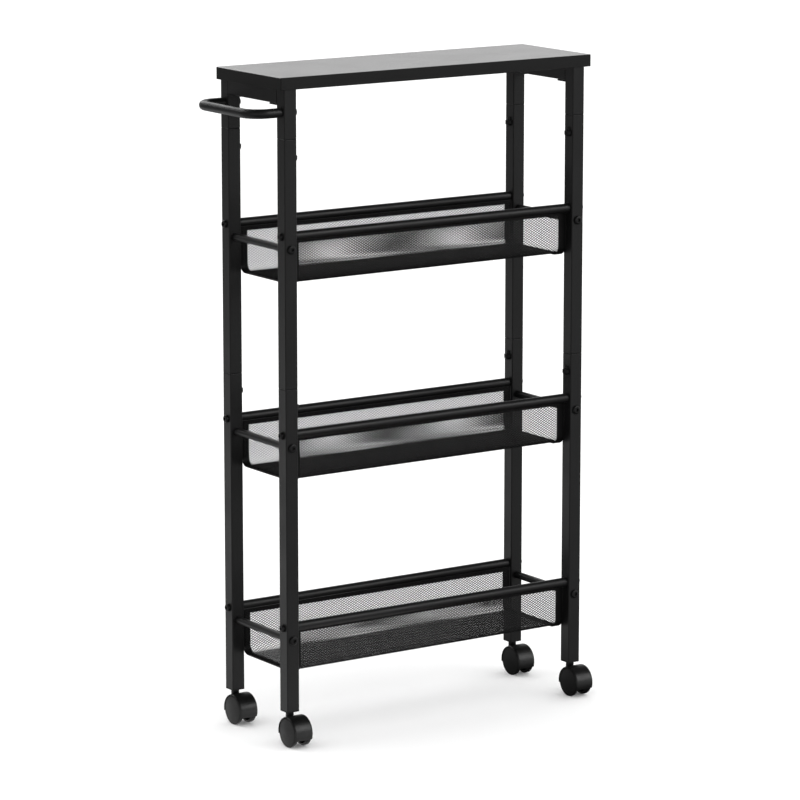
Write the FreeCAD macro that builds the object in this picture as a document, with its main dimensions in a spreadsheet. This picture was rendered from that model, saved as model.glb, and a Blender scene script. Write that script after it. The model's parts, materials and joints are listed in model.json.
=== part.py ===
"""Rolling pantry cart: a slim cart with a laminated board on top, three mesh
trough baskets between four square posts, a bent tube handle and four swivel
casters with twin wheels.

Millimetres. +X runs along the board away from the handle, +Y to the back and
+Z up. The origin is on the floor, under the middle of the whole cart's box: the
handle reaches past the board on the left, and the casters trail to the front.
"""
import FreeCAD
import Part
import Sketcher
import os

DIMENSIONS = {
    "board_length": 500, "board_depth": 160, "board_thick": 16.5, "board_edge": 0.6, "board_shift": 2,
    "frame_length": 484, "frame_depth": 157,
    "tube": 19, "tube_wall": 1.2, "tube_corner": 1.5,
    "foot_height": 45.5, "lower_section": 438.5, "middle_section": 330.5, "upper_section": 65,
    "sleeve_side": 16.4, "sleeve_wall": 1.5, "sleeve_corner": 1.8, "sleeve_up": 28, "sleeve_down": 38,
    "joint_bolt_drop": 23.5,
    "rail_dia": 12.7, "rail_wall": 1.2, "rail_plug_length": 20,
    "rod_dia": 10, "rod_drop": 16.5,
    "top_tier": 686.2, "middle_tier": 421.6, "bottom_tier": 160.3,
    "basket_inset": 14.2, "basket_drop": 66, "basket_radius": 12, "basket_gap": 0.5,
    "frame_sheet": 1.5, "mesh_sheet": 1.2, "band_width": 11.2,
    "rim_top_drop": 4.4, "rim_bottom_drop": 10.6,
    "plate_thick": 2, "plate_reach": 17,
    "handle_dia": 12.7, "handle_wall": 1.5, "handle_bend": 24, "handle_reach": 49,
    "handle_height": 849.5,
    "bolt_dia": 5.9, "bolt_hole": 6.0, "head_height": 4, "rod_head_height": 3, "head_land": 0.5,
    "socket": 4,
    "rail_head": 10.5, "rod_head": 12, "joint_head": 12, "handle_head": 12,
    "board_screw_dia": 4, "board_screw_head": 8, "board_screw_bite": 11,
    "foot_flange": 2, "foot_side": 16.4, "foot_reach": 20, "thread_dia": 7.9, "thread_hole": 8,
    "thread_length": 18,
    "neck_dia": 11, "neck_base": 38.3, "neck_room": 0.3, "pin_dia": 5.6, "pin_hole": 5.7, "pin_end": 19,
    "caster_offset": 14, "wheel_dia": 39.5, "wheel_inner": 7.8, "wheel_outer": 14.8,
    "wheel_round": 1.8, "wheel_rim": 3, "wheel_hub_dia": 13, "wheel_web": 2.4,
    "hood_dia": 44, "hood_inner_dia": 41, "hood_half": 13.9, "hood_web": 7.2,
    "hood_front_drop": 20, "hood_back_drop": 12, "hood_hub_dia": 13, "hood_top": 38,
    "axle_dia": 6, "axle_hole": 6.1, "axle_half": 12,
}

X_AXIS = FreeCAD.Vector(1, 0, 0)
Y_AXIS = FreeCAD.Vector(0, 1, 0)
Z_AXIS = FreeCAD.Vector(0, 0, 1)
UPRIGHT = FreeCAD.Rotation()
ALONG_X = FreeCAD.Rotation(Y_AXIS, 90)
ALONG_MINUS_X = FreeCAD.Rotation(Y_AXIS, -90)
ALONG_Y = FreeCAD.Rotation(X_AXIS, -90)
ALONG_MINUS_Y = FreeCAD.Rotation(X_AXIS, 90)
UPSIDE_DOWN = FreeCAD.Rotation(X_AXIS, 180)

doc = FreeCAD.newDocument("pantry_cart")
sheet = doc.addObject("Spreadsheet::Sheet", "Dimensions")
for row, (alias, value) in enumerate(DIMENSIONS.items(), start=1):
    sheet.set(f"A{row}", alias)
    sheet.set(f"B{row}", str(value))
    sheet.setAlias(f"B{row}", alias)
doc.recompute()

sub_parts = []


# ---------------------------------------------------------------- expressions

def dim(text):
    """A formula on the sheet: every name that is a cell's alias gets the sheet's name."""
    words = text.replace("(", " ( ").replace(")", " ) ").split()
    return " ".join(f"Dimensions.{word}" if word in DIMENSIONS else word for word in words)


CASTER_REACH = "( hood_dia / 2 + caster_offset + frame_depth / 2 - tube / 2 )"
BOARD_OVERHANG = "( ( board_length - frame_length ) / 2 + board_shift )"
MIDDLE_X = f"( ( handle_reach - {BOARD_OVERHANG} ) / 2 )"
MIDDLE_Y = f"( ( {CASTER_REACH} - frame_depth / 2 - rod_head_height ) / 2 )"
LEFT_POST = f"( {MIDDLE_X} - frame_length / 2 + tube / 2 )"
RIGHT_POST = f"( {MIDDLE_X} + frame_length / 2 - tube / 2 )"
FRONT_POST = f"( {MIDDLE_Y} - frame_depth / 2 + tube / 2 )"
BACK_POST = f"( {MIDDLE_Y} + frame_depth / 2 - tube / 2 )"
LOWER_SEAM = "( foot_height + lower_section )"
UPPER_SEAM = "( foot_height + lower_section + middle_section )"
BOARD_BASE = "( foot_height + lower_section + middle_section + upper_section )"

ENDS = {"left": LEFT_POST, "right": RIGHT_POST}
SIDES = {"front": FRONT_POST, "back": BACK_POST}
INWARD = {"left": 1, "right": -1, "front": 1, "back": -1}
TIERS = {"top": "top_tier", "middle": "middle_tier", "bottom": "bottom_tier"}
CORNERS = [(side, end) for side in SIDES for end in ENDS]


def place(piece, x="0", y="0", z="0", rotation=UPRIGHT):
    """Turn a piece and bind its place to the sheet."""
    piece.Placement = FreeCAD.Placement(FreeCAD.Vector(), rotation)
    for axis, formula in zip("xyz", (x, y, z)):
        piece.setExpression(f"Placement.Base.{axis}", dim(formula))
    return piece


def bind(piece, **formulas):
    for name, formula in formulas.items():
        piece.setExpression(name, dim(formula))
    return piece


# ---------------------------------------------------------------- Part pieces

def box(length, width, height, x="0", y="0", z="0"):
    """A box whose near lower left corner is at x, y, z."""
    piece = doc.addObject("Part::Box", "block")
    bind(piece, Length=length, Width=width, Height=height)
    return place(piece, x, y, z)


def cylinder(diameter, length, x="0", y="0", z="0", rotation=UPRIGHT):
    piece = doc.addObject("Part::Cylinder", "round_bar")
    bind(piece, Radius=f"( {diameter} ) / 2", Height=length)
    return place(piece, x, y, z, rotation)


def fuse(*pieces):
    joined = doc.addObject("Part::MultiFuse", "joined")
    joined.Shapes = list(pieces)
    joined.Refine = True
    return joined


def cut(base, *tools):
    remains = doc.addObject("Part::Cut", "remains")
    remains.Base = base
    remains.Tool = tools[0] if len(tools) == 1 else fuse(*tools)
    remains.Refine = True
    return remains


def group(master, places):
    """Separate copies of one piece, each at x, y, z with a rotation, in one node."""
    links = []
    for x, y, z, rotation in places:
        link = doc.addObject("App::Link", "copy")
        link.LinkedObject = master
        links.append(place(link, x, y, z, rotation))
    together = doc.addObject("Part::Compound", "copies")
    together.Links = links
    return together


def keep(label, piece):
    """Name a finished sub-part, which gets a file of its own."""
    piece.Label = label
    sub_parts.append(piece)
    return piece


# ---------------------------------------------------------- PartDesign pieces

def new_body(name):
    return doc.addObject("PartDesign::Body", name)


def sketch_on(body, role):
    """An empty sketch on one of the body's own origin planes."""
    sketch = body.newObject("Sketcher::SketchObject", "outline")
    plane = next(feature for feature in body.Origin.OriginFeatures if feature.Role == role)
    sketch.AttachmentSupport = (plane, "")
    sketch.MapMode = "FlatFace"
    return sketch


def rectangle(sketch, width, height, left=None, low=None):
    """A rectangle of given size, centred unless its left or lower edge is given."""
    corners = [FreeCAD.Vector(x, y) for x, y in ((-9, -7), (9, -7), (9, 7), (-9, 7))]
    lines = [Part.LineSegment(corners[i], corners[(i + 1) % 4]) for i in range(4)]
    first = sketch.GeometryCount
    sketch.addGeometry(lines, False)
    bottom, right, top, far = range(first, first + 4)
    for one, other in ((bottom, right), (right, top), (top, far), (far, bottom)):
        sketch.addConstraint(Sketcher.Constraint("Coincident", one, 2, other, 1))
    for line in (bottom, top):
        sketch.addConstraint(Sketcher.Constraint("Horizontal", line))
    for line in (right, far):
        sketch.addConstraint(Sketcher.Constraint("Vertical", line))
    formulas = {
        ("DistanceX", bottom, 1, bottom, 2): (18, width),
        ("DistanceY", right, 1, right, 2): (14, height),
        ("DistanceX", -1, 1, bottom, 1): (-9, left or f"0 - ( {width} ) / 2"),
        ("DistanceY", -1, 1, bottom, 1): (-7, low or f"0 - ( {height} ) / 2"),
    }
    for (kind, *where), (start, formula) in formulas.items():
        number = sketch.addConstraint(Sketcher.Constraint(kind, *where, start))
        sketch.setExpression(f"Constraints[{number}]", dim(formula))


def pad(body, sketch, length, midplane=False):
    feature = body.newObject("PartDesign::Pad", "pad")
    feature.Profile = sketch
    feature.Midplane = midplane
    bind(feature, Length=length)
    body.Tip = feature
    doc.recompute()
    return feature


def pocket_through(body, sketch):
    """Cut the sketch right through the body, both ways."""
    before = body.Shape.Volume
    feature = body.newObject("PartDesign::Pocket", "pocket")
    feature.Profile = sketch
    feature.Type = "ThroughAll"
    feature.Midplane = True
    body.Tip = feature
    doc.recompute()
    if body.Shape.Volume > before - 1e-3:
        raise RuntimeError(f"a pocket in {body.Name} cuts nothing")
    return feature


def fillet(body, base, radius, chosen):
    """Round the edges of a feature that the chosen test picks."""
    edges = [f"Edge{i}" for i, edge in enumerate(base.Shape.Edges, start=1) if chosen(edge)]
    feature = body.newObject("PartDesign::Fillet", "rounding")
    feature.Base = (base, edges)
    bind(feature, Radius=radius)
    body.Tip = feature
    doc.recompute()
    return feature


def hollow(body, base, wall, open_face):
    """Thin a feature down to its walls, without the faces that the test picks."""
    faces = [f"Face{i}" for i, face in enumerate(base.Shape.Faces, start=1) if open_face(face)]
    feature = body.newObject("PartDesign::Thickness", "walls")
    feature.Base = (base, faces)
    feature.Reversed = True
    bind(feature, Value=wall)
    body.Tip = feature
    doc.recompute()
    return feature


def runs_along(edge, axis):
    start, end = edge.Vertexes[0].Point, edge.Vertexes[-1].Point
    return (end - start).cross(axis).Length < 1e-6


def faces_along(face, axis):
    """A flat face square to the axis."""
    return face.Surface.TypeId == "Part::GeomPlane" and face.normalAt(0, 0).cross(axis).Length < 1e-6


def square_tube(length, side="tube", wall="tube_wall", corner="tube_corner"):
    """An upright square tube with rounded corners, centred on its axis, from z = 0 up."""
    body = new_body("square_tube")
    sketch = sketch_on(body, "XY_Plane")
    rectangle(sketch, side, side)
    block = pad(body, sketch, length)
    rounded = fillet(body, block, corner, lambda edge: runs_along(edge, Z_AXIS))
    hollow(body, rounded, wall, lambda face: faces_along(face, Z_AXIS))
    return body


def trough(inset, drop, radius, sheet_thick, length, top_drop):
    """A sheet bent to a U with round lower corners, open at the top and both ends.

    The inset is counted from the posts' outer faces and the drop from the rails' axis.
    """
    body = new_body("trough")
    sketch = sketch_on(body, "YZ_Plane")
    rectangle(sketch, f"frame_depth - 2 * ( {inset} )", f"{drop} - ( {top_drop} )", low=f"0 - ( {drop} )")
    block = pad(body, sketch, length, midplane=True)
    base = block.Shape.BoundBox.ZMin
    rounded = fillet(body, block, radius,
                     lambda edge: runs_along(edge, X_AXIS) and edge.BoundBox.ZMax < base + 1e-6)
    top = rounded.Shape.BoundBox.ZMax
    hollow(body, rounded, sheet_thick,
           lambda face: faces_along(face, X_AXIS) or face.BoundBox.ZMin > top - 1e-6)
    return body


# ------------------------------------------------------------------ the board

def make_top_board():
    body = new_body("board")
    sketch = sketch_on(body, "XY_Plane")
    rectangle(sketch, "board_length", "board_depth")
    block = pad(body, sketch, "board_thick")
    fillet(body, block, "board_edge", lambda edge: True)
    pilots = [cylinder("board_screw_dia - 0.2", "board_screw_bite + 1", x, y, f"{BOARD_BASE} - 0.5")
              for x, y in screw_places()]
    keep("top_board", cut(place(body, f"{MIDDLE_X} + board_shift", MIDDLE_Y, BOARD_BASE), *pilots))


def screw_places():
    """Where the board's screws stand: through the plates beside the posts."""
    return [(ENDS[end], f"{SIDES[side]} + ( {INWARD[side]} ) * ( tube / 2 + plate_reach / 2 )")
            for side, end in CORNERS]


# -------------------------------------------------------------------- frames

def make_top_frame(end):
    """A welded U: a crossbar between two short legs, with a flat screw plate in each corner."""
    x = ENDS[end]
    bar = place(square_tube("frame_depth - 2 * tube"), x, f"{FRONT_POST} + tube / 2",
                f"{BOARD_BASE} - tube / 2", ALONG_Y)
    legs = [place(square_tube("upper_section"), x, y, UPPER_SEAM) for y in SIDES.values()]
    plate_z = f"{BOARD_BASE} - tube - plate_thick"
    plates = [box("tube", "plate_reach", "plate_thick", f"{x} - tube / 2", y, plate_z)
              for y in (f"{FRONT_POST} + tube / 2", f"{BACK_POST} - tube / 2 - plate_reach")]
    holes = [cylinder("board_screw_dia + 0.2", "tube + plate_thick + 2", x_hole, y_hole, f"{plate_z} - 1")
             for x_hole, y_hole in screw_places() if x_hole == x]
    sinks = [countersink("0.1", x_hole, y_hole, plate_z)
             for x_hole, y_hole in screw_places() if x_hole == x]
    if end == "left":
        holes += [cylinder("bolt_hole", "tube + 2", f"{x} - tube / 2 - 1", y, "handle_height", ALONG_X)
                  for y in SIDES.values()]
    keep(f"{end}_top_frame", cut(fuse(bar, *legs, *plates), *holes, *sinks))


def countersink(play, x, y, z):
    """The conical seat of a board screw's head, wide side down."""
    cone = doc.addObject("Part::Cone", "countersink")
    bind(cone, Radius1=f"board_screw_head / 2 + {play}", Radius2=f"board_screw_dia / 2 + {play}",
         Height="plate_thick")
    return place(cone, x, y, z)


def make_posts():
    """The lower and the middle section of each post, with their bolt holes."""
    for side, end in CORNERS:
        x, y = ENDS[end], SIDES[side]
        lower = place(square_tube("lower_section - foot_flange"), x, y, "foot_height + foot_flange")
        middle = place(square_tube("middle_section"), x, y, LOWER_SEAM)
        tiers = {"lower": ("middle", "bottom"), "middle": ("top",)}
        seams = {"lower": LOWER_SEAM, "middle": UPPER_SEAM}
        for section, tube in (("lower", lower), ("middle", middle)):
            holes = []
            for tier in tiers[section]:
                rail_z = TIERS[tier]
                holes.append(cylinder("bolt_hole", "tube + 2", f"{x} - tube / 2 - 1", y, rail_z, ALONG_X))
                holes.append(cylinder("bolt_hole", "tube + 2", x, f"{y} - tube / 2 - 1",
                                      f"{rail_z} - rod_drop", ALONG_Y))
            toward = ALONG_X if end == "left" else ALONG_MINUS_X
            holes.append(cylinder("bolt_hole", "tube / 2 + 1", x, y,
                                  f"{seams[section]} - joint_bolt_drop", toward))
            keep(f"{side}_{end}_{section}_post", cut(tube, *holes))


def make_sleeves():
    """Inner sleeves that join the post sections, each with a tapped hole for its bolt."""
    for name, seam in (("lower", LOWER_SEAM), ("upper", UPPER_SEAM)):
        tube = square_tube("sleeve_up + sleeve_down", "sleeve_side", "sleeve_wall", "sleeve_corner")
        hole = cylinder("bolt_hole", "sleeve_side / 2 + 1", z="sleeve_down - joint_bolt_drop",
                        rotation=ALONG_X)
        sleeve = cut(tube, hole)
        keep(f"{name}_joint_sleeves", group(sleeve, [
            (ENDS[end], SIDES[side], f"{seam} - sleeve_down",
             UPRIGHT if end == "left" else FreeCAD.Rotation(Z_AXIS, 180))
            for side, end in CORNERS]))


# ----------------------------------------------------------------- fasteners

def button_bolt(head, shank, height="head_height"):
    """A round-headed bolt with a socket, along +Z, its head resting on z = 0 from below."""
    dome = doc.addObject("Part::Sphere", "dome")
    bind(dome, Radius=f"( {head} ) * 0.6")
    place(dome, z=f"( {head} ) * 0.6 - {height} - head_land")
    rim = cylinder(head, height, z=f"0 - {height}")
    crown = doc.addObject("Part::MultiCommon", "crown")
    crown.Shapes = [dome, rim]
    socket = doc.addObject("Part::Prism", "socket")
    socket.Polygon = 6
    bind(socket, Circumradius="socket / 1.732", Height=f"{height} * 0.6 + 1")
    place(socket, z=f"0 - {height} - 1")
    return cut(fuse(crown, cylinder("bolt_dia", shank)), socket)


def make_bolts():
    outward_x = {"left": (-1, ALONG_X), "right": (1, ALONG_MINUS_X)}
    outward_y = {"front": (-1, ALONG_Y), "back": (1, ALONG_MINUS_Y)}
    rail_bolt = button_bolt("rail_head", "tube + rail_plug_length - 4")
    keep("rail_bolts", group(rail_bolt, [
        (f"{ENDS[end]} + ( {outward_x[end][0]} ) * tube / 2", SIDES[side], z, outward_x[end][1])
        for side, end in CORNERS for z in TIERS.values()]))
    rod_bolt = button_bolt("rod_head", "tube + 14", "rod_head_height")
    keep("rod_bolts", group(rod_bolt, [
        (ENDS[end], f"{SIDES[side]} + ( {outward_y[side][0]} ) * tube / 2", f"{z} - rod_drop",
         outward_y[side][1])
        for side, end in CORNERS for z in TIERS.values()]))
    for name, seam in (("lower", LOWER_SEAM), ("upper", UPPER_SEAM)):
        joint_bolt = button_bolt("joint_head", "( tube - sleeve_side ) / 2 + sleeve_wall + 1.5")
        keep(f"{name}_joint_bolts", group(joint_bolt, [
            (f"{ENDS[end]} + ( {INWARD[end]} ) * tube / 2", SIDES[side], f"{seam} - joint_bolt_drop",
             ALONG_MINUS_X if end == "left" else ALONG_X)
            for side, end in CORNERS]))
    handle_bolt = button_bolt("handle_head", "tube + 14")
    keep("handle_bolts", group(handle_bolt, [
        (f"{LEFT_POST} + tube / 2", y, "handle_height", ALONG_MINUS_X) for y in SIDES.values()]))


def make_board_screws():
    """Countersunk screws up through plate and crossbar into the board."""
    shank = cylinder("board_screw_dia - 0.2", "plate_thick + tube + board_screw_bite")
    screw = fuse(shank, countersink("0", "0", "0", "0"))
    keep("board_screws", group(screw, [
        (x, y, f"{BOARD_BASE} - tube - plate_thick", UPRIGHT) for x, y in screw_places()]))


# -------------------------------------------------------------------- handle

def bent_bar(diameter):
    """The handle's route: two legs, two quarter bends and the grip between them."""
    reach = "( handle_reach - handle_dia / 2 )"
    face = f"( {LEFT_POST} - tube / 2 )"
    leg = f"( {reach} - handle_bend )"
    legs = [cylinder(diameter, leg, face, y, "handle_height", ALONG_MINUS_X) for y in SIDES.values()]
    grip = cylinder(diameter, f"{BACK_POST} - {FRONT_POST} - 2 * handle_bend", f"{face} - {reach}",
                    f"{FRONT_POST} + handle_bend", "handle_height", ALONG_Y)
    bends = []
    for side, turn in (("front", 180), ("back", 90)):
        bend = doc.addObject("Part::Torus", "bend")
        bend.Angle3 = 90
        bind(bend, Radius1="handle_bend", Radius2=f"( {diameter} ) / 2")
        bends.append(place(bend, f"{face} - {leg}",
                           f"{SIDES[side]} + ( {INWARD[side]} ) * handle_bend",
                           "handle_height", FreeCAD.Rotation(Z_AXIS, turn)))
    return fuse(*legs, grip, *bends)


def make_handle():
    keep("push_handle", cut(bent_bar("handle_dia"), bent_bar("handle_dia - 2 * handle_wall")))
    plug = cut(cylinder("handle_dia - 2 * handle_wall - 0.1", "16"), cylinder("bolt_hole", "16"))
    keep("handle_end_plugs", group(plug, [
        (f"{LEFT_POST} - tube / 2 - 0.2", y, "handle_height", ALONG_MINUS_X) for y in SIDES.values()]))


# ------------------------------------------------------------- rails and rods

def make_rails():
    """Round rails along X, front and back of each tier, with a tapped plug in each end."""
    span = "( frame_length - 2 * tube )"
    start = f"{LEFT_POST} + tube / 2"
    for tier, z in TIERS.items():
        for side, y in SIDES.items():
            outer = cylinder("rail_dia", span, start, y, z, ALONG_X)
            inner = cylinder("rail_dia - 2 * rail_wall", span, start, y, z, ALONG_X)
            keep(f"{tier}_{side}_rail", cut(outer, inner))
    plug = cut(cylinder("rail_dia - 2 * rail_wall - 0.1", "rail_plug_length"),
               cylinder("bolt_hole", "rail_plug_length"))
    keep("rail_end_plugs", group(plug, [
        (f"{ENDS[end]} + ( {INWARD[end]} ) * ( tube / 2 + 0.2 )", SIDES[side], z,
         ALONG_X if end == "left" else ALONG_MINUS_X)
        for side, end in CORNERS for z in TIERS.values()]))


def make_rods():
    """Solid rods along Y across both ends of each tier, tapped at their ends."""
    span = "( frame_depth - 2 * tube )"
    for tier, z in TIERS.items():
        for end, x in ENDS.items():
            height = f"{z} - rod_drop"
            rod = cylinder("rod_dia", span, x, f"{FRONT_POST} + tube / 2", height, ALONG_Y)
            taps = [cylinder("bolt_hole", "16", x, f"{FRONT_POST} + tube / 2", height, ALONG_Y),
                    cylinder("bolt_hole", "16", x, f"{BACK_POST} - tube / 2", height, ALONG_MINUS_Y)]
            keep(f"{tier}_{end}_rod", cut(rod, *taps))


# ------------------------------------------------------------------- baskets

def make_baskets():
    """Each basket: a sheet frame of two U bands and two rims, and the mesh trough welded inside."""
    length = "frame_length - 2 * tube - 2 * basket_gap"
    for tier, z in TIERS.items():
        frame = trough("basket_inset", "basket_drop", "basket_radius", "frame_sheet", length,
                       "rim_top_drop")
        window = sketch_on(frame, "XZ_Plane")
        rectangle(window, f"{length} - 2 * band_width", "basket_drop", low="0 - basket_drop - rim_bottom_drop")
        pocket_through(frame, window)
        keep(f"{tier}_basket_frame", place(frame, MIDDLE_X, MIDDLE_Y, z))
        mesh = trough("basket_inset + frame_sheet", "basket_drop - frame_sheet",
                      "basket_radius - frame_sheet", "mesh_sheet", f"{length} - 2", "rim_top_drop + 1")
        keep(f"{tier}_basket_mesh", place(mesh, MIDDLE_X, MIDDLE_Y, z))


# ------------------------------------------------------------------- casters

def make_feet():
    """Foot plugs in the posts' lower ends and the caster stems screwed into them."""
    plug_body = new_body("foot_plug")
    sketch = sketch_on(plug_body, "XY_Plane")
    rectangle(sketch, "tube", "tube")
    flange = pad(plug_body, sketch, "foot_flange")
    fillet(plug_body, flange, "tube_corner", lambda edge: runs_along(edge, Z_AXIS))
    stub = box("foot_side", "foot_side", "foot_reach", "0 - foot_side / 2", "0 - foot_side / 2", "foot_flange")
    plug = cut(fuse(plug_body, stub), cylinder("thread_hole", "foot_flange + foot_reach"))
    stem = fuse(cylinder("pin_dia", "neck_base - pin_end", z="pin_end"),
                cylinder("neck_dia", "foot_height - neck_base", z="neck_base"),
                cylinder("thread_dia", "thread_length", z="foot_height"))
    spots = [(ENDS[end], SIDES[side]) for side, end in CORNERS]
    keep("foot_plugs", group(plug, [(x, y, "foot_height", UPRIGHT) for x, y in spots]))
    keep("caster_stems", group(stem, [(x, y, "0", UPRIGHT) for x, y in spots]))


def make_hood(x, y):
    """The caster's housing: an arched fender, the web between the wheels and the stem's boss.

    The bores are the axle's, the pin's and a shallow seat in which the stem's neck turns clear.
    """
    axle_y = f"{y} - caster_offset"
    axle_z = "wheel_dia / 2"
    drum = doc.addObject("Part::Cylinder", "fender")
    bind(drum, Radius="hood_dia / 2", Height="2 * hood_half",
         Angle="180 + hood_front_drop + hood_back_drop")
    turn = FreeCAD.Rotation(X_AXIS, -DIMENSIONS["hood_back_drop"]).multiply(
        FreeCAD.Rotation(Y_AXIS, Z_AXIS, X_AXIS, "ZXY"))
    place(drum, f"{x} - hood_half", axle_y, axle_z, turn)
    hub = cylinder("hood_hub_dia", "2 * hood_web", f"{x} - hood_web", axle_y, axle_z, ALONG_X)
    boss = cylinder("neck_dia + 1", "hood_top - pin_end + 2", x, y, "pin_end - 2")
    room = [cylinder("hood_inner_dia", "hood_half", f"{x} + hood_web", axle_y, axle_z, ALONG_X),
            cylinder("hood_inner_dia", "hood_half", f"{x} - hood_web", axle_y, axle_z, ALONG_MINUS_X)]
    bores = [cylinder("axle_dia", "2 * hood_half", f"{x} - hood_half", axle_y, axle_z, ALONG_X),
             cylinder("pin_hole", "hood_top", x, y, "pin_end - 0.5"),
             cylinder("neck_dia + 2 * neck_room", "neck_dia / 2", x, y, "hood_top")]
    return cut(fuse(drum, hub, boss), *room, *bores)


def make_wheel(x, y, outward):
    """A cup-shaped wheel: tread ring, outer disc and hub with a blind bore."""
    heading = ALONG_X if outward > 0 else ALONG_MINUS_X
    axle_y = f"{y} - caster_offset"
    axle_z = "wheel_dia / 2"
    start = f"{x} + ( {outward} ) * wheel_inner"
    body = new_body("tread")
    sketch = sketch_on(body, "XY_Plane")
    circle(sketch, "wheel_dia / 2")
    disc = pad(body, sketch, "wheel_outer - wheel_inner")
    fillet(body, disc, "wheel_round", lambda edge: edge.Curve.TypeId == "Part::GeomCircle")
    place(body, start, axle_y, axle_z, heading)
    depth = "wheel_outer - wheel_inner - wheel_web"
    recess = cut(cylinder("wheel_dia - 2 * wheel_rim", depth, start, axle_y, axle_z, heading),
                 cylinder("wheel_hub_dia", depth, start, axle_y, axle_z, heading))
    bore = cylinder("axle_hole", "axle_half - wheel_inner + 0.3", start, axle_y, axle_z, heading)
    return cut(body, recess, bore)


def circle(sketch, radius):
    sketch.addGeometry(Part.Circle(FreeCAD.Vector(), Z_AXIS, 9), False)
    sketch.addConstraint(Sketcher.Constraint("Coincident", 0, 3, -1, 1))
    number = sketch.addConstraint(Sketcher.Constraint("Radius", 0, 9))
    sketch.setExpression(f"Constraints[{number}]", dim(radius))


def make_casters():
    for side, end in CORNERS:
        x, y = ENDS[end], SIDES[side]
        corner = f"{side}_{end}"
        keep(f"{corner}_caster_hood", make_hood(x, y))
        keep(f"{corner}_caster_axle",
             cylinder("axle_dia", "2 * axle_half", f"{x} - axle_half", f"{y} - caster_offset",
                      "wheel_dia / 2", ALONG_X))
        keep(f"{corner}_left_wheel", make_wheel(x, y, -1))
        keep(f"{corner}_right_wheel", make_wheel(x, y, 1))


# ------------------------------------------------------------------ the whole

def check_and_write():
    doc.recompute()
    failed = [f"{thing.Label}: {thing.State}" for thing in doc.Objects
              if "Invalid" in thing.State or "Error" in thing.State]
    failed += [part.Label for part in sub_parts if part.Shape.isNull() or not part.Shape.isValid()]
    if failed:
        raise RuntimeError(f"failed objects: {failed}")
    os.makedirs("parts", exist_ok=True)
    for part in sub_parts:
        part.Shape.exportStep(f"parts/{part.Label}.step")
        print(f"{part.Label}: {len(part.Shape.Solids)} solids, {part.Shape.Volume:.0f} mm3")


make_top_board()
make_top_frame("left")
make_top_frame("right")
make_posts()
make_sleeves()
make_handle()
make_rails()
make_rods()
make_baskets()
make_bolts()
make_board_screws()
make_feet()
make_casters()
check_and_write()
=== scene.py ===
"""The looks of the rolling pantry cart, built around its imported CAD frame.

Metres, +Z up, +X along the board away from the handle. Black powder-coated tubes
and rails come from the CAD nodes with their edges rounded; the board, the expanded
metal troughs, the bolts, the caster hoods and the wheels are modelled here in full.
"""
import json
import math

import bmesh
import bpy
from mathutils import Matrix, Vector


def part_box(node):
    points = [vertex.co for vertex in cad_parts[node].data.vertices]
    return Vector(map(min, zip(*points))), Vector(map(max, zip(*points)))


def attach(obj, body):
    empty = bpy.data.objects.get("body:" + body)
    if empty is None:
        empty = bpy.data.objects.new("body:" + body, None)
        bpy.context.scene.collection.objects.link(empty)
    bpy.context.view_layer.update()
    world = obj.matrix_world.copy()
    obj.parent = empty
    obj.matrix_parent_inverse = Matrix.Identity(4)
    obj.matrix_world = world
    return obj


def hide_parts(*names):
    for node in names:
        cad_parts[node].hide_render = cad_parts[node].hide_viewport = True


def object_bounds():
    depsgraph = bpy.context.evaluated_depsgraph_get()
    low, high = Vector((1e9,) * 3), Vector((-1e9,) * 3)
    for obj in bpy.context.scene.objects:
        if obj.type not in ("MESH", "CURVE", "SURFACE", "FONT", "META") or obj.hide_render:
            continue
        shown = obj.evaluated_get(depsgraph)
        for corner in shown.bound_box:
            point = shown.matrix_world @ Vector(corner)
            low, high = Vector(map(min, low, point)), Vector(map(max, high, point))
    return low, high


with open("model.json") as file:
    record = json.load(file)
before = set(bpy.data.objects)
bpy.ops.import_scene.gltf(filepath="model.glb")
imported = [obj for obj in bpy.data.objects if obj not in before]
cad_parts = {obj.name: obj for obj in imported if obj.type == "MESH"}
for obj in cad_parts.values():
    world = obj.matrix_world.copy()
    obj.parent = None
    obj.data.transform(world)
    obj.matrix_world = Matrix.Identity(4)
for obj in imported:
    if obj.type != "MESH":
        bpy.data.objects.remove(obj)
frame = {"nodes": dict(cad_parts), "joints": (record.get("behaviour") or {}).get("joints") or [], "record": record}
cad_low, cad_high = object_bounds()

MM = 0.001
TIERS = ("top", "middle", "bottom")
SIDES = ("front", "back")
ENDS = ("left", "right")
CORNERS = [f"{side}_{end}" for side in SIDES for end in ENDS]
JOINTS = {joint["name"]: joint for joint in frame["joints"]}
POSTS = [Vector(JOINTS[f"{corner}_swivel"]["pos_m"]) for corner in CORNERS]
TUBE = 19 * MM
SEAM_ROUND = 0.85 * MM


# ---------------------------------------------------------------- mesh helpers

def new_piece(name, vertices, faces):
    """A flat-shaded mesh object from points and faces, linked to the scene."""
    mesh = bpy.data.meshes.new(name)
    mesh.from_pydata(vertices, [], faces)
    mesh.validate()
    piece = bpy.data.objects.new(name, mesh)
    bpy.context.scene.collection.objects.link(piece)
    return piece


def from_bmesh(name, shell):
    """A piece from a bmesh, which is freed."""
    mesh = bpy.data.meshes.new(name)
    shell.to_mesh(mesh)
    shell.free()
    piece = bpy.data.objects.new(name, mesh)
    bpy.context.scene.collection.objects.link(piece)
    return piece


def settle(piece):
    """Applies every modifier of a piece to its mesh."""
    shape = piece.evaluated_get(bpy.context.evaluated_depsgraph_get())
    settled = bpy.data.meshes.new_from_object(shape)
    piece.modifiers.clear()
    piece.data = settled


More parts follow.
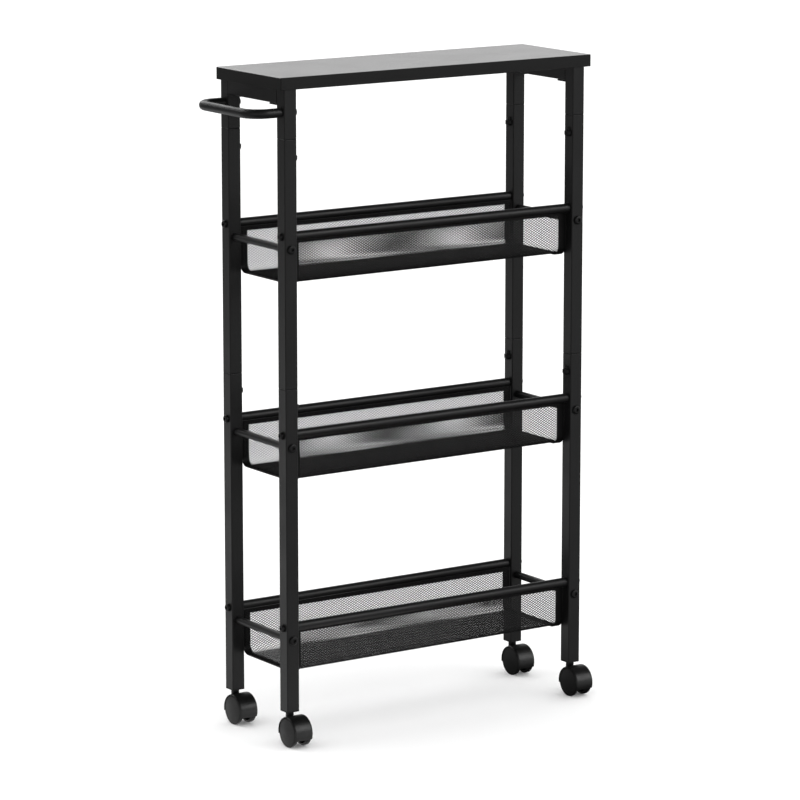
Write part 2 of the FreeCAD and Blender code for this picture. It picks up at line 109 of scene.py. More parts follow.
def shade(piece, crisp_degrees=32, keep_flats=False):
    """Smooth shading with edges sharper than the angle kept crisp, and flats kept flat on request."""
    shell = bmesh.new()
    shell.from_mesh(piece.data)
    for face in shell.faces:
        face.smooth = True
    limit = math.radians(crisp_degrees)
    for edge in shell.edges:
        edge.smooth = not edge.is_manifold or edge.calc_face_angle() < limit
    shell.to_mesh(piece.data)
    shell.free()
    if keep_flats:
        normals = piece.modifiers.new("normals", "WEIGHTED_NORMAL")
        normals.keep_sharp = True
        normals.weight = 100
        settle(piece)
    return piece


def round_edges(shell, rounding, crisp_degrees=35):
    """Bevels the edges of a bmesh that are sharper than the angle."""
    limit = math.radians(crisp_degrees)
    crisp = [edge for edge in shell.edges if edge.is_manifold and edge.calc_face_angle() > limit]
    bmesh.ops.bevel(shell, geom=crisp, offset=rounding, offset_type="OFFSET", segments=2,
                    profile=0.5, affect="EDGES", clamp_overlap=True)


def finish_piece(piece, body, node, material):
    """Gives a piece its material and body, and hides the CAD node it stands for."""
    piece.data.materials.clear()
    piece.data.materials.append(material)
    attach(piece, body)
    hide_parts(node)


def refined(node, rounding, body, material, seams=()):
    """A copy of a CAD node with its coplanar facets merged and its sharp edges rounded.

    The tubes' outer edges at the heights in seams get a wider round, which leaves a
    groove where two sections meet.
    """
    shell = bmesh.new()
    shell.from_mesh(frame["nodes"][node].data)
    bmesh.ops.remove_doubles(shell, verts=shell.verts, dist=1e-6)
    bmesh.ops.dissolve_limit(shell, angle_limit=math.radians(0.4), verts=shell.verts,
                             edges=shell.edges)
    for seam in seams:
        ends = [edge for edge in shell.edges if on_outer_end(edge, seam)]
        bmesh.ops.bevel(shell, geom=ends, offset=SEAM_ROUND, offset_type="OFFSET", segments=4,
                        profile=0.5, affect="EDGES", clamp_overlap=False)
    round_edges(shell, rounding)
    piece = shade(from_bmesh(f"{node}_finished", shell), keep_flats=True)
    finish_piece(piece, body, node, material)


def on_outer_end(edge, height):
    """Whether an edge runs round the outside of a post's tube at a height."""
    if any(abs(vert.co.z - height) > 1e-6 for vert in edge.verts):
        return False
    middle = (edge.verts[0].co + edge.verts[1].co) / 2
    reach = min(max(abs(middle.x - post.x), abs(middle.y - post.y)) for post in POSTS)
    return reach > TUBE / 2 - 0.8 * MM


def lathe(shell, profile, turn, steps, start=0.0, sweep=360.0):
    """Adds a closed profile of (along, radius) turned about an axis.

    turn(along, radius, angle) gives the point. A full turn closes on itself and a part
    turn gets a flat face at each end.
    """
    full = abs(sweep - 360.0) < 1e-9
    rings = []
    for step in range(steps if full else steps + 1):
        angle = math.radians(start + sweep * step / steps)
        rings.append([shell.verts.new(turn(along, radius, angle)) for along, radius in profile])
    pairs = list(zip(rings, rings[1:])) + ([(rings[-1], rings[0])] if full else [])
    count = len(profile)
    for ring, following in pairs:
        for i in range(count):
            j = (i + 1) % count
            shell.faces.new((ring[i], ring[j], following[j], following[i]))
    if not full:
        shell.faces.new(rings[0])
        shell.faces.new(reversed(rings[-1]))


def round_corner(centre, radius, start, end, steps):
    """Points on an arc, angles in degrees."""
    points = []
    for step in range(steps + 1):
        angle = math.radians(start + (end - start) * step / steps)
        points.append((centre[0] + radius * math.cos(angle), centre[1] + radius * math.sin(angle)))
    return points


# ------------------------------------------------------------------- materials

MIDDLE_OF_NOISE = (0.35, 0.65)
TONES_OF_NOISE = (0.3, 0.7)


def new_material(name, color, roughness, specular, metallic=0.0):
    """A Principled material and its node tree, with the constant values on the shader."""
    material = bpy.data.materials.new(name)
    material.use_nodes = True
    shader = material.node_tree.nodes["Principled BSDF"]
    shader.inputs["Base Color"].default_value = (*color, 1.0)
    shader.inputs["Roughness"].default_value = roughness
    shader.inputs["Specular IOR Level"].default_value = specular
    shader.inputs["Metallic"].default_value = metallic
    return material


def add(material, kind, **values):
    """A new node of a kind, with its inputs or settings given by name."""
    node = material.node_tree.nodes.new(kind)
    for name, value in values.items():
        if name in node.inputs:
            node.inputs[name].default_value = value
        else:
            setattr(node, name, value)
    return node


def link(material, source, output, target, socket):
    """Joins one node's output to another's input."""
    material.node_tree.links.new(source.outputs[output], target.inputs[socket])


def noise(material, scale, detail, stretch=(1.0, 1.0, 1.0)):
    """A noise texture in the object's own metres, optionally stretched along an axis."""
    place = add(material, "ShaderNodeTexCoord")
    mapping = add(material, "ShaderNodeMapping")
    mapping.inputs["Scale"].default_value = stretch
    texture = add(material, "ShaderNodeTexNoise", Scale=scale, Detail=detail)
    link(material, place, "Object", mapping, "Vector")
    link(material, mapping, "Vector", texture, "Vector")
    return texture


def vary(material, texture, low, high, socket):
    """Spreads a texture's middle range from low to high onto a shader socket."""
    shader = material.node_tree.nodes["Principled BSDF"]
    spread = add(material, "ShaderNodeMapRange")
    spread.inputs["From Min"].default_value = MIDDLE_OF_NOISE[0]
    spread.inputs["From Max"].default_value = MIDDLE_OF_NOISE[1]
    spread.inputs["To Min"].default_value = low
    spread.inputs["To Max"].default_value = high
    link(material, texture, "Fac", spread, "Value")
    link(material, spread, "Result", shader, socket)


def tint(material, texture, dark, light):
    """Colours the surface between two tones by a texture."""
    shader = material.node_tree.nodes["Principled BSDF"]
    ramp = add(material, "ShaderNodeValToRGB")
    ramp.color_ramp.elements[0].position = TONES_OF_NOISE[0]
    ramp.color_ramp.elements[0].color = (*dark, 1.0)
    ramp.color_ramp.elements[1].position = TONES_OF_NOISE[1]
    ramp.color_ramp.elements[1].color = (*light, 1.0)
    link(material, texture, "Fac", ramp, "Fac")
    link(material, ramp, "Color", shader, "Base Color")


def bump(material, textures, distance):
    """Chains height textures, each with its strength, into the shader's normal."""
    shader = material.node_tree.nodes["Principled BSDF"]
    previous = None
    for texture, strength in textures:
        relief = add(material, "ShaderNodeBump", Strength=strength, Distance=distance)
        link(material, texture, "Fac", relief, "Height")
        if previous is not None:
            link(material, previous, "Normal", relief, "Normal")
        previous = relief
    link(material, previous, "Normal", shader, "Normal")


def powder_coat(name, tone, roughness, specular, grain=1600.0, relief=0.5):
    """Black powder coat: fine orange peel, soft sheen and a little cloudiness."""
    material = new_material(name, (tone, tone, tone * 1.03), roughness, specular)
    cloud = noise(material, 22.0, detail=4.0)
    peel = noise(material, grain, detail=2.0)
    wave = noise(material, grain / 5, detail=1.0)
    tint(material, cloud, (tone * 0.86,) * 3, (tone * 1.14, tone * 1.14, tone * 1.18))
    vary(material, cloud, roughness - 0.04, roughness + 0.05, "Roughness")
    bump(material, [(peel, relief), (wave, relief * 0.6)], 0.00012)
    return material


def laminate(name, tone, roughness, specular):
    """Black laminate: a satin, finely pebbled skin, barely clouded."""
    material = new_material(name, (tone,) * 3, roughness, specular)
    cloud = noise(material, 14.0, detail=5.0)
    pebble = noise(material, 2400.0, detail=1.0)
    tint(material, cloud, (tone * 0.88,) * 3, (tone * 1.12,) * 3)
    vary(material, cloud, roughness - 0.008, roughness + 0.012, "Roughness")
    bump(material, [(pebble, 0.25)], 0.00004)
    return material


def moulded_plastic(name, tone, roughness, specular, relief=0.25):
    """Black moulded nylon: smooth, faintly mottled, with a fine spark-eroded grain."""
    material = new_material(name, (tone,) * 3, roughness, specular)
    mottle = noise(material, 90.0, detail=3.0)
    grains = noise(material, 3000.0, detail=1.0)
    tint(material, mottle, (tone * 0.88,) * 3, (tone * 1.12,) * 3)
    vary(material, mottle, roughness - 0.03, roughness + 0.05, "Roughness")
    bump(material, [(grains, relief)], 0.00005)
    return material


def plated_steel(name, tone, roughness, metallic=1.0, specular=0.5):
    """Zinc-plated or blackened steel with faint turning marks."""
    material = new_material(name, tone, roughness, specular, metallic=metallic)
    marks = noise(material, 900.0, detail=3.0, stretch=(1.0, 1.0, 0.2))
    blotch = noise(material, 120.0, detail=3.0)
    tint(material, blotch, tuple(t * 0.85 for t in tone), tuple(min(1.0, t * 1.1) for t in tone))
    vary(material, marks, roughness - 0.08, roughness + 0.08, "Roughness")
    bump(material, [(marks, 0.2)], 0.00003)
    return material


frame_coat = powder_coat("frame_powder_coat", 0.0038, 0.40, 0.105)
# The baskets' rims and bands are the frame's black coat made darker and duller: the lower tone paints the shade
# that falls on them beneath the rails.
basket_coat_painted_shade = powder_coat("basket_powder_coat_painted_shade", 0.0028, 0.45, 0.05)
mesh_coat = powder_coat("mesh_powder_coat", 0.004, 0.50, 0.06, grain=2400.0, relief=0.35)
board_skin = laminate("board_laminate", 0.008, 0.24, 0.55)
edge_band = laminate("board_edge_band", 0.0035, 0.50, 0.08)
# Black-oxide steel, darker than the frame's coat: partly the bolts' own black, partly painted shade that darkens
# the bolt heads and the caster stems under the posts.
bolt_black_and_painted_shade = plated_steel("black_oxide_and_painted_shade", (0.002, 0.002, 0.0021), 0.38, metallic=0.0, specular=0.10)
zinc = plated_steel("zinc_plate", (0.55, 0.56, 0.58), 0.32)
plug_black = moulded_plastic("plug_plastic", 0.003, 0.55, 0.10)
hood_black = moulded_plastic("hood_nylon", 0.003, 0.36, 0.15, relief=0.15)
wheel_black = moulded_plastic("wheel_nylon", 0.003, 0.45, 0.10)


# ----------------------------------------------------------------------- board

def make_board():
    """A laminated panel: rounded corners, a hairline seam under the skin and round edges."""
    low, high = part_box("top_board")
    corner = 1.6 * MM
    seam_deep = 0.22 * MM
    skin = 0.9 * MM
    edge = 0.6 * MM
    steps = 5
    outline = []
    for sign_x, sign_y, start in ((1, 1, 0), (-1, 1, 90), (-1, -1, 180), (1, -1, 270)):
        centre = ((high.x if sign_x > 0 else low.x) - sign_x * corner,
                  (high.y if sign_y > 0 else low.y) - sign_y * corner)
        outline += [(centre, math.radians(start + 90 * step / steps)) for step in range(steps + 1)]
    levels = [(edge, low.z), (edge * 0.3, low.z + edge * 0.3), (0.0, low.z + edge),
              (0.0, high.z - skin - 0.3 * MM), (seam_deep, high.z - skin - 0.12 * MM),
              (seam_deep, high.z - skin + 0.02 * MM), (0.0, high.z - skin + 0.15 * MM),
              (edge * 0.12, high.z - edge * 0.45), (edge * 0.5, high.z - edge * 0.12),
              (edge, high.z)]
    shell = bmesh.new()
    rings = []
    for inset, height in levels:
        radius = corner - inset
        rings.append([shell.verts.new((centre[0] + radius * math.cos(angle),
                                       centre[1] + radius * math.sin(angle), height))
                      for centre, angle in outline])
    for ring, above in zip(rings, rings[1:]):
        for i in range(len(ring)):
            j = (i + 1) % len(ring)
            shell.faces.new((ring[i], ring[j], above[j], above[i]))
    shell.faces.new(reversed(rings[0]))
    shell.faces.new(rings[-1])
    piece = shade(from_bmesh("top_board_panel", shell), 40, keep_flats=True)
    finish_piece(piece, "cart", "top_board", board_skin)
    piece.data.materials.append(edge_band)
    for polygon in piece.data.polygons:
        polygon.material_index = 0 if abs(polygon.normal.z) > 0.5 else 1


# --------------------------------------------------------------------- baskets

FRAME_SHEET = 1.5 * MM
FRAME_CORNER = 12 * MM
BAND = 11.2 * MM
RIM = 6.2 * MM
MESH_CORNER = FRAME_CORNER - FRAME_SHEET
MESH_THICK = 0.6 * MM
LONG_WAY = 5.6 * MM
SHORT_WAY = 3.4 * MM
STRAND = 0.86 * MM
STRAND_LEAN = 0.22 * MM


def trough_line(half_depth, top, bottom, corner):
    """A function that gives the point and outward normal at a distance along a U's section.

    It runs from the back rim down, along the floor and up to the front rim. The marks are
    the distances where the back wall, a corner, the floor, a corner and the front wall end.
    """
    wall = top - bottom - corner
    arc = corner * math.pi / 2
    floor = 2 * (half_depth - corner)
    marks = [wall, wall + arc, wall + arc + floor, wall + 2 * arc + floor, 2 * wall + 2 * arc + floor]

    def at(distance):
        if distance <= marks[0]:
            return half_depth, top - distance, 1.0, 0.0
        if distance <= marks[1]:
            angle = (distance - marks[0]) / corner
            return (half_depth - corner + corner * math.cos(angle),
                    bottom + corner - corner * math.sin(angle), math.cos(angle), -math.sin(angle))
        if distance <= marks[2]:
            return half_depth - corner - (distance - marks[1]), bottom, 0.0, -1.0
        if distance <= marks[3]:
            angle = (distance - marks[2]) / corner
            return (corner - half_depth - corner * math.sin(angle),
                    bottom + corner - corner * math.cos(angle), -math.sin(angle), -math.cos(angle))
        return -half_depth, bottom + corner + distance - marks[3], -1.0, 0.0

    return at, marks


def make_basket_frame(tier):
    """Two U bands and two rims of folded sheet, with rounded edges."""
    node = f"{tier}_basket_frame"
    low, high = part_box(node)
    middle_y = (low.y + high.y) / 2
    half = FRAME_SHEET / 2
    at, marks = trough_line((high.y - low.y) / 2 - half, high.z, low.z + half, FRAME_CORNER - half)
    stops = [0.0, RIM, marks[0]]
    stops += [marks[0] + (marks[1] - marks[0]) * i / 8 for i in range(1, 9)]
    stops += [marks[2] + (marks[3] - marks[2]) * i / 8 for i in range(0, 9)]
    stops += [marks[4] - RIM, marks[4]]
    columns = [low.x, low.x + BAND, high.x - BAND, high.x]
    shell = bmesh.new()
    grid = []
    for stop in stops:
        y, z, _, _ = at(stop)
        grid.append([shell.verts.new((x, middle_y + y, z)) for x in columns])
    for row in range(len(stops) - 1):
        rim = row in (0, len(stops) - 2)
        for column in range(3):
            if rim or column != 1:
                shell.faces.new((grid[row][column], grid[row + 1][column],
                                 grid[row + 1][column + 1], grid[row][column + 1]))
    loose = [vert for vert in shell.verts if not vert.link_faces]
    bmesh.ops.delete(shell, geom=loose, context="VERTS")
    piece = from_bmesh(f"{tier}_basket_rims_and_bands", shell)
    sheet = piece.modifiers.new("sheet", "SOLIDIFY")
    sheet.thickness = FRAME_SHEET
    sheet.offset = 0.0
    sheet.use_even_offset = True
    settle(piece)
    shell = bmesh.new()
    shell.from_mesh(piece.data)
    round_edges(shell, 0.4 * MM, 50)
    shell.to_mesh(piece.data)
    shell.free()
    # The darker basket coat paints shade onto the rims and bands.
    finish_piece(shade(piece, keep_flats=True), "cart", node, basket_coat_painted_shade)


def diamond_sheet(name, low_x, columns, rows, row_step, at, middle_y):
    """Expanded metal: diamonds in staggered rows, each a ring of four leaning strands."""
    half_long, half_short = LONG_WAY / 2, SHORT_WAY / 2
    slant = math.hypot(half_long, half_short)
    open_long = half_long - STRAND / 2 * slant / half_short
    open_short = half_short - STRAND / 2 * slant / half_long
    vertices, faces, corners, cells = [], [], {}, set()

    def point(x, distance, depth):
        y, z, out_y, out_z = at(distance)
        vertices.append((x, middle_y + y + out_y * depth, z + out_z * depth))
        return len(vertices) - 1

    def corner(i, j):
        """Both surface points of a knuckle of the mesh, shared by the diamonds round it."""
        if (i, j) not in corners:
            x, distance = low_x + i * half_long, j * row_step
            corners[i, j] = (point(x, distance, MESH_THICK / 2), point(x, distance, -MESH_THICK / 2))
        return corners[i, j]

    for j in rows:
        for i in range(1 + j % 2, columns, 2):
            cells.add((i, j))
    for i, j in sorted(cells):
        outer = [corner(i - 1, j), corner(i, j - 1), corner(i + 1, j), corner(i, j + 1)]
        x, distance = low_x + i * half_long, j * row_step
        inner = []
        for along, across in ((-open_long, 0), (0, -open_short), (open_long, 0), (0, open_short)):
            lean = STRAND_LEAN * across / open_short
            reach = distance + across * row_step / half_short
            inner.append((point(x + along, reach, MESH_THICK / 2 + lean),
                          point(x + along, reach, lean - MESH_THICK / 2)))
        beyond = [(i - 1, j - 1), (i + 1, j - 1), (i + 1, j + 1), (i - 1, j + 1)]
        for k in range(4):
            n = (k + 1) % 4
            faces.append((outer[k][0], outer[n][0], inner[n][0], inner[k][0]))
            faces.append((inner[k][1], inner[n][1], outer[n][1], outer[k][1]))
            faces.append((inner[k][0], inner[n][0], inner[n][1], inner[k][1]))
            if beyond[k] not in cells:
                faces.append((outer[n][0], outer[k][0], outer[k][1], outer[n][1]))
    return new_piece(name, vertices, faces)


def make_basket_mesh():
    """Each tier's trough of expanded metal in three pieces: back wall, floor and front wall."""
    low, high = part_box("top_basket_mesh")
    sheet = 1.2 * MM
    at, marks = trough_line((high.y - low.y) / 2 - sheet / 2, high.z, low.z + sheet / 2,
                            MESH_CORNER - sheet / 2)
    rows = round(marks[4] / (SHORT_WAY / 2))
    row_step = marks[4] / rows
    columns = int((high.x - low.x) / (LONG_WAY / 2))
    start_x = (low.x + high.x - columns * LONG_WAY / 2) / 2
    first_floor_row = round(marks[0] / row_step)
    last_floor_row = rows - first_floor_row
    parts = {"back_wall": range(1, first_floor_row),
             "floor": range(first_floor_row, last_floor_row),
             "front_wall": range(last_floor_row, rows)}
    for part, part_rows in parts.items():
        master = diamond_sheet(f"top_basket_{part}_mesh", start_x, columns, part_rows, row_step, at,
                               (low.y + high.y) / 2)
        for tier in TIERS:
            piece = master
            if tier != "top":
                piece = bpy.data.objects.new(f"{tier}_basket_{part}_mesh", master.data)
                bpy.context.scene.collection.objects.link(piece)
                piece.location.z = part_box(f"{tier}_basket_mesh")[0].z - low.z
            finish_piece(piece, "cart", f"{tier}_basket_mesh", mesh_coat)


# --------------------------------------------------------------------- casters

AXLE_HOLE = 3.1 * MM
HUB = 6.5 * MM


def make_hood(corner):
    """The housing: a round fender over both wheels, the web between them and the stem's boss."""
    node = f"{corner}_caster_hood"
    low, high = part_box(node)
    axle = Vector(JOINTS[f"{corner}_left_wheel_spin"]["pos_m"])
    stem = Vector(JOINTS[f"{corner}_swivel"]["pos_m"])
    half = (high.x - low.x) / 2
    outer = high.z - axle.z
    inner = outer - 1.5 * MM
    web = 7.2 * MM
    web_thick = 1 * MM
    lip_long = 2.6 * MM
    lip_deep = 1.3 * MM
    bevel_long = 0.4 * MM
    bevel_deep = 0.3 * MM
    stem_hole = 2.9 * MM
    boss_radius = 6 * MM
    boss_foot = 17 * MM
    boss_top = 38 * MM

    def turn(along, radius, angle):
        return (axle.x + along, axle.y - radius * math.cos(angle), axle.z + radius * math.sin(angle))

    section = [(-web, inner), (bevel_long - half, inner), (-half, inner + bevel_deep)]
    for start, end, side in ((180, 90, -1), (90, 0, 1)):
        arc = round_corner((0.0, 0.0), 1.0, start, end, 6)
        section += [(side * (half - lip_long) + along * lip_long, outer - lip_deep + rise * lip_deep)
                    for along, rise in arc]
    section += [(half, inner + bevel_deep), (half - bevel_long, inner), (web, inner),
                (web, HUB - web_thick), (-web, HUB - web_thick)]
    shell = bmesh.new()
    lathe(shell, section, turn, steps=56, start=-20, sweep=212)
    lathe(shell, [(-web, AXLE_HOLE), (-web, HUB), (web, HUB), (web, AXLE_HOLE)], turn, steps=40)
    boss = [(boss_foot, stem_hole), (boss_foot, boss_radius), (boss_top - 0.8 * MM, boss_radius),
            (boss_top - 0.2 * MM, 5.8 * MM), (boss_top, 5.2 * MM), (boss_top, stem_hole)]

    def upright(along, radius, angle):
        return (stem.x + radius * math.cos(angle), stem.y + radius * math.sin(angle), along)

    lathe(shell, boss, upright, steps=40)
    bmesh.ops.recalc_face_normals(shell, faces=shell.faces)
    piece = shade(from_bmesh(f"{corner}_hood_shell", shell), 38)
    finish_piece(piece, f"{corner}_caster", node, hood_black)


def make_wheel(corner, side):
    """A cup-shaped wheel with a round-shouldered tread, a stepped rim and a domed face."""
    node = f"{corner}_{side}_wheel"
    low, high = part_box(node)
    axle = Vector(JOINTS[f"{corner}_{side}_wheel_spin"]["pos_m"])
    outward = -1 if side == "left" else 1
    start = abs((high.x if side == "left" else low.x) - axle.x)
    end = abs((low.x if side == "left" else high.x) - axle.x)
    radius = (high.z - low.z) / 2

    def turn(along, distance, angle):
        return (axle.x + outward * along, axle.y + distance * math.cos(angle),
                axle.z + distance * math.sin(angle))

    rim = radius - 3 * MM
    wall = end - 2.4 * MM
    edge = end - 1.2 * MM
    groove = radius - 2.3 * MM
    groove_deep = 0.35 * MM
    inner_round = 1.4 * MM
    outer_round = 1.1 * MM
    core = 0.05 * MM
    socket_end = end - 2 * MM
    section = [(start, AXLE_HOLE), (start, HUB), (wall, HUB), (wall, rim), (start, rim)]
    section += round_corner((start + inner_round, radius - inner_round), inner_round, 180, 90, 5)
    section += round_corner((edge - outer_round, radius - outer_round), outer_round, 90, 8, 5)
    section += [(edge, groove + groove_deep), (edge - groove_deep, groove + 0.15 * MM),
                (edge - groove_deep, groove)]
    for step in range(9):
        share = step / 8
        section.append((edge + (end - edge) * math.sin(share * math.pi / 2),
                        groove * (1 - share) + core * share))
    section += [(socket_end, core), (socket_end, AXLE_HOLE)]
    shell = bmesh.new()
    lathe(shell, section, turn, steps=72)
    bmesh.ops.recalc_face_normals(shell, faces=shell.faces)
    piece = shade(from_bmesh(f"{corner}_{side}_wheel_tread_and_disc", shell), 38)
    finish_piece(piece, f"{corner}_{side}_wheel", node, wheel_black)


# ----------------------------------------------------------------------- bolts

BOLT_NODES = ("rail_bolts", "rod_bolts", "lower_joint_bolts", "upper_joint_bolts", "handle_bolts")


def solids_of(node):
    """The corner points of each separate solid of a CAD node."""
    shell = bmesh.new()
    shell.from_mesh(frame["nodes"][node].data)
    bmesh.ops.remove_doubles(shell, verts=shell.verts, dist=1e-6)
    waiting = set(shell.verts)
    solids = []
    while waiting:
        front = [waiting.pop()]
        solid = list(front)
        while front:
            near = {edge.other_vert(vert) for vert in front for edge in vert.link_edges}
            front = [vert for vert in near if vert in waiting]
            waiting.difference_update(front)
            solid += front
        solids.append([vert.co.copy() for vert in solid])
    shell.free()
    return solids


def measure_bolt(points):
    """A bolt's axis number, way outward, centre line, head radius and heights along the axis."""
    low = Vector([min(point[i] for point in points) for i in range(3)])
    high = Vector([max(point[i] for point in points) for i in range(3)])
    axis = max(range(3), key=lambda i: high[i] - low[i])
    others = [i for i in range(3) if i != axis]
    middle = (low + high) / 2
    radius = max(high[i] - low[i] for i in others) / 2
    rim = [point[axis] for point in points
           if math.hypot(*(point[i] - middle[i] for i in others)) > 0.98 * radius]
    outward = 1 if sum(rim) / len(rim) > middle[axis] else -1
    base = min(rim) if outward > 0 else max(rim)
    tip = high[axis] if outward > 0 else low[axis]
    end = low[axis] if outward > 0 else high[axis]
    return axis, outward, middle, radius, base, abs(tip - base), abs(end - base)


def make_bolts(node):
    """Round-headed bolts: a straight rim, a low dome and a hexagonal socket."""
    socket = 2.3 * MM
    socket_deep = 2.0 * MM
    shank = 2.9 * MM
    rim_bevel = 0.15 * MM
    shell = bmesh.new()
    for points in solids_of(node):
        axis, outward, middle, radius, base, height, length = measure_bolt(points)
        across = [i for i in range(3) if i != axis]

        def turn(along, distance, angle):
            if abs(distance - socket) < 1e-7:
                distance /= math.cos((angle + math.pi / 6) % (math.pi / 3) - math.pi / 6)
            point = middle.copy()
            point[axis] = base + outward * along
            point[across[0]] += distance * math.cos(angle)
            point[across[1]] += distance * math.sin(angle)
            return point

        crown = 0.6 * radius
        rise = height * 0.5
        profile = [(height - socket_deep, 0.0), (height - socket_deep, socket),
                   (height - 0.05 * MM, socket), (height, socket * 1.25), (height, crown)]
        for step in range(1, 7):
            angle = math.radians(90 * step / 6)
            profile.append((height - rise * (1 - math.cos(angle)),
                            crown + (radius - crown) * math.sin(angle)))
        profile += [(rim_bevel, radius), (0.0, radius - rim_bevel), (0.0, shank), (-length, shank),
                    (-length, 0.0)]
        lathe(shell, profile, turn, steps=48)
    bmesh.ops.remove_doubles(shell, verts=shell.verts, dist=1e-6)
    bmesh.ops.recalc_face_normals(shell, faces=shell.faces)
    piece = shade(from_bmesh(f"{node}_with_sockets", shell), 30)
    finish_piece(piece, "cart", node, bolt_black_and_painted_shade)


# ------------------------------------------------------------ frame and finish

def make_frame():
    """Posts, top frames, plugs and caster stems with rounded ends."""
    for corner in CORNERS:
        for section in ("lower", "middle"):
            node = f"{corner}_{section}_post"
            low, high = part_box(node)
            seams = (high.z,) if section == "lower" else (low.z, high.z)
            refined(node, 0.45 * MM, "cart", frame_coat, seams)
    for end in ENDS:
        node = f"{end}_top_frame"
        refined(node, 0.45 * MM, "cart", frame_coat, (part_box(node)[0].z,))
    refined("foot_plugs", 0.35 * MM, "cart", plug_black)
    # The stems take the bolts' darkest black, which paints the shade they stand in under the posts.
    refined("caster_stems", 0.3 * MM, "cart", bolt_black_and_painted_shade)


CAD_FINISHES = {
    "frame_steel": frame_coat,
    "black_bolts": bolt_black_and_painted_shade,
    "zinc_steel": zinc,
    "plug_plastic": plug_black,
    "caster_plastic": hood_black,
    "wheel_plastic": wheel_black,
    "mesh_steel": mesh_coat,
    "board": board_skin,
}


def finish_cad_nodes():
    """Every CAD node takes the finish of its slot in the record."""
    for part in frame["record"]["subparts"]:
        node = frame["nodes"][part["node"]]
        if not node.material_slots:
            node.data.materials.append(None)
        for place in node.material_slots:
            place.link = "OBJECT"
            place.material = CAD_FINISHES[part["material_slot"]]


make_board()
for tier_name in TIERS:
    make_basket_frame(tier_name)
make_basket_mesh()
for corner_name in CORNERS:
    make_hood(corner_name)
    for side_name in ("left", "right"):
        make_wheel(corner_name, side_name)
for bolts in BOLT_NODES:
    make_bolts(bolts)
make_frame()
finish_cad_nodes()


# ------------------------------------------------------------ floor and lights

# How far off the soft boxes stand, the white that the camera sees, and the way to the
# studio's brighter side.
FAR = 12.0
BACKDROP = 1.1
BRIGHT_SIDE = (0.56, -0.83, 0.0)


def make_floor():
    """A wide pale floor that takes the shadows and stays out of reflections."""
    reach = 40.0
    floor = new_piece("floor", [(-reach, -reach, 0), (reach, -reach, 0), (reach, reach, 0),
                                (-reach, reach, 0)], [(0, 1, 2, 3)])
    material = new_material("pale_floor", (0.95, 0.95, 0.95), roughness=0.9, specular=0.0)
    floor.data.materials.append(material)
    floor.visible_glossy = False


def area_light(name, place, target, size, radiance, mirrored=True, lighting=True):
    """A square soft box that faces a point, for reflections, for lighting or for both."""
    data = bpy.data.lights.new(name, "AREA")
    data.shape = "SQUARE"
    data.size = size
    data.energy = radiance * math.pi * size * size
    lamp = bpy.data.objects.new(name, data)
    bpy.context.scene.collection.objects.link(lamp)
    lamp.location = place
    lamp.rotation_euler = (Vector(target) - Vector(place)).to_track_quat("-Z", "Y").to_euler()
    lamp.visible_glossy = mirrored
    lamp.visible_diffuse = lighting


def make_world():
    """A studio for reflections, dark overhead and underfoot, before a plain white backdrop.

    Between dark and dark it is brighter towards the front right than the back left.
    """
    world = bpy.data.worlds.new("studio")
    bpy.context.scene.world = world
    world.use_nodes = True
    nodes, links = world.node_tree.nodes, world.node_tree.links
    nodes["Background"].inputs["Color"].default_value = (1.0, 1.0, 1.0, 1.0)
    direction = nodes.new("ShaderNodeTexCoord")
    parts = nodes.new("ShaderNodeSeparateXYZ")
    above = smooth_range(nodes, (0.30, 0.75), (1.0, 0.05))
    below = smooth_range(nodes, (-0.48, -0.20), (0.08, 1.0))
    turned = nodes.new("ShaderNodeVectorMath")
    turned.operation = "DOT_PRODUCT"
    turned.inputs[1].default_value = BRIGHT_SIDE
    side = smooth_range(nodes, (-1.0, 1.0), (0.45, 1.75))
    links.new(direction.outputs["Generated"], parts.inputs["Vector"])
    links.new(direction.outputs["Generated"], turned.inputs[0])
    links.new(parts.outputs["Z"], above.inputs["Value"])
    links.new(parts.outputs["Z"], below.inputs["Value"])
    links.new(turned.outputs["Value"], side.inputs["Value"])
    vertical = product(nodes, links, above.outputs["Result"], below.outputs["Result"])
    strength = product(nodes, links, vertical.outputs["Value"], side.outputs["Result"])
    ray = nodes.new("ShaderNodeLightPath")
    seen = nodes.new("ShaderNodeMix")
    seen.data_type = "FLOAT"
    seen.inputs["B"].default_value = BACKDROP
    links.new(ray.outputs["Is Camera Ray"], seen.inputs["Factor"])
    links.new(strength.outputs["Value"], seen.inputs["A"])
    links.new(seen.outputs["Result"], nodes["Background"].inputs["Strength"])


def product(nodes, links, first, second):
    """A node that multiplies two values."""
    node = nodes.new("ShaderNodeMath")
    node.operation = "MULTIPLY"
    links.new(first, node.inputs[0])
    links.new(second, node.inputs[1])
    return node


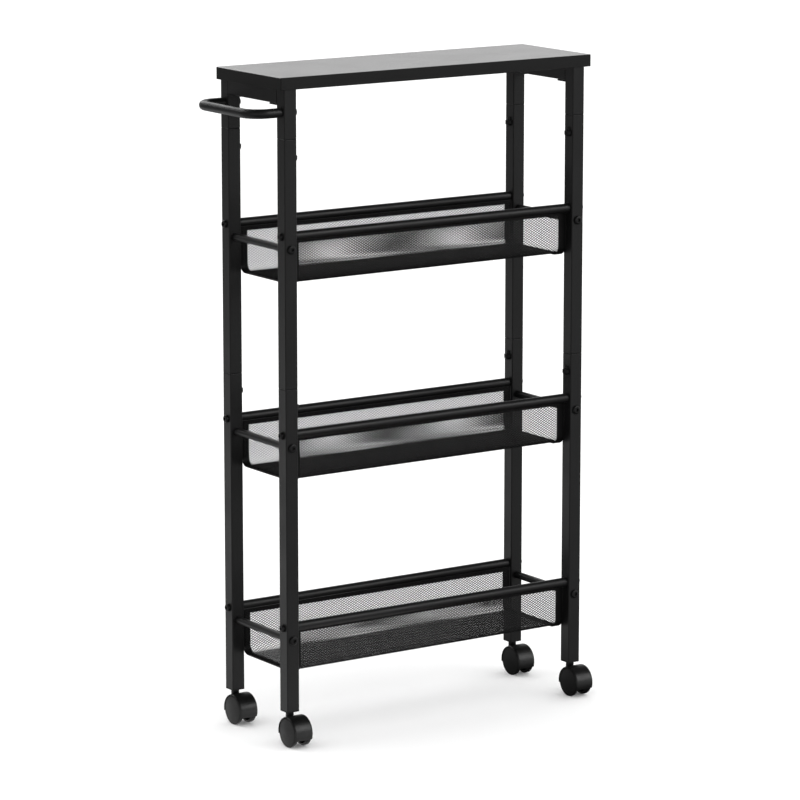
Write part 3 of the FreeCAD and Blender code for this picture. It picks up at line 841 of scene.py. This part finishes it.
def smooth_range(nodes, source, target):
    """A map-range node that eases from one range to another."""
    node = nodes.new("ShaderNodeMapRange")
    node.interpolation_type = "SMOOTHSTEP"
    node.inputs["From Min"].default_value = source[0]
    node.inputs["From Max"].default_value = source[1]
    node.inputs["To Min"].default_value = target[0]
    node.inputs["To Max"].default_value = target[1]
    return node


def softbox(name, direction, spread, radiance):
    """A far soft box that only shows in reflections, its size given by its spread."""
    centre = (cad_low + cad_high) / 2
    area_light(name, centre + FAR * Vector(direction), centre, spread * FAR, radiance, lighting=False)


def make_studio():
    """The floor, the world, two lights for the light itself and the cards for reflections."""
    make_floor()
    make_world()
    area_light("ceiling", (0.0, 0.0, 14.0), (0.0, 0.0, 0.0), size=120.0, radiance=1.02,
               mirrored=False)
    area_light("key", (-1.3, 1.2, 2.8), (cad_low + cad_high) / 2, size=1.8, radiance=0.9,
               mirrored=False)
    softbox("right_softbox", (0.54, -0.77, 0.50), spread=0.60, radiance=8.5)
    softbox("left_softbox", (-0.46, 0.60, 0.66), spread=0.40, radiance=8.0)
    softbox("grip_softbox", (0.14, 0.84, 0.52), spread=0.45, radiance=5.0)
    area_light("near_card", (-1.4, 1.2, -0.002), (-1.4, 1.2, 1.0), size=3.0, radiance=1.5,
               lighting=False)
    softbox("front_softbox", (-0.81, -0.55, 0.15), spread=0.55, radiance=0.8)
    softbox("back_softbox", (0.45, 0.85, 0.20), spread=1.0, radiance=0.34)


def make_camera():
    """A long lens from the front left, a little above the board."""
    place = Vector((-3.0442, -4.4951, 1.5059))
    azimuth = math.radians(-34.14)
    elevation = math.radians(11.15)
    data = bpy.data.cameras.new("camera")
    data.sensor_width = 36.0
    data.lens = 183.35
    data.clip_end = 200.0
    camera = bpy.data.objects.new("camera", data)
    bpy.context.scene.collection.objects.link(camera)
    camera.location = place
    back = Vector((math.sin(azimuth) * math.cos(elevation), -math.cos(azimuth) * math.cos(elevation),
                   math.sin(elevation)))
    camera.rotation_euler = (-back).to_track_quat("-Z", "Y").to_euler()
    bpy.context.scene.camera = camera


make_studio()
make_camera()
bpy.context.scene.view_settings.view_transform = "Standard"
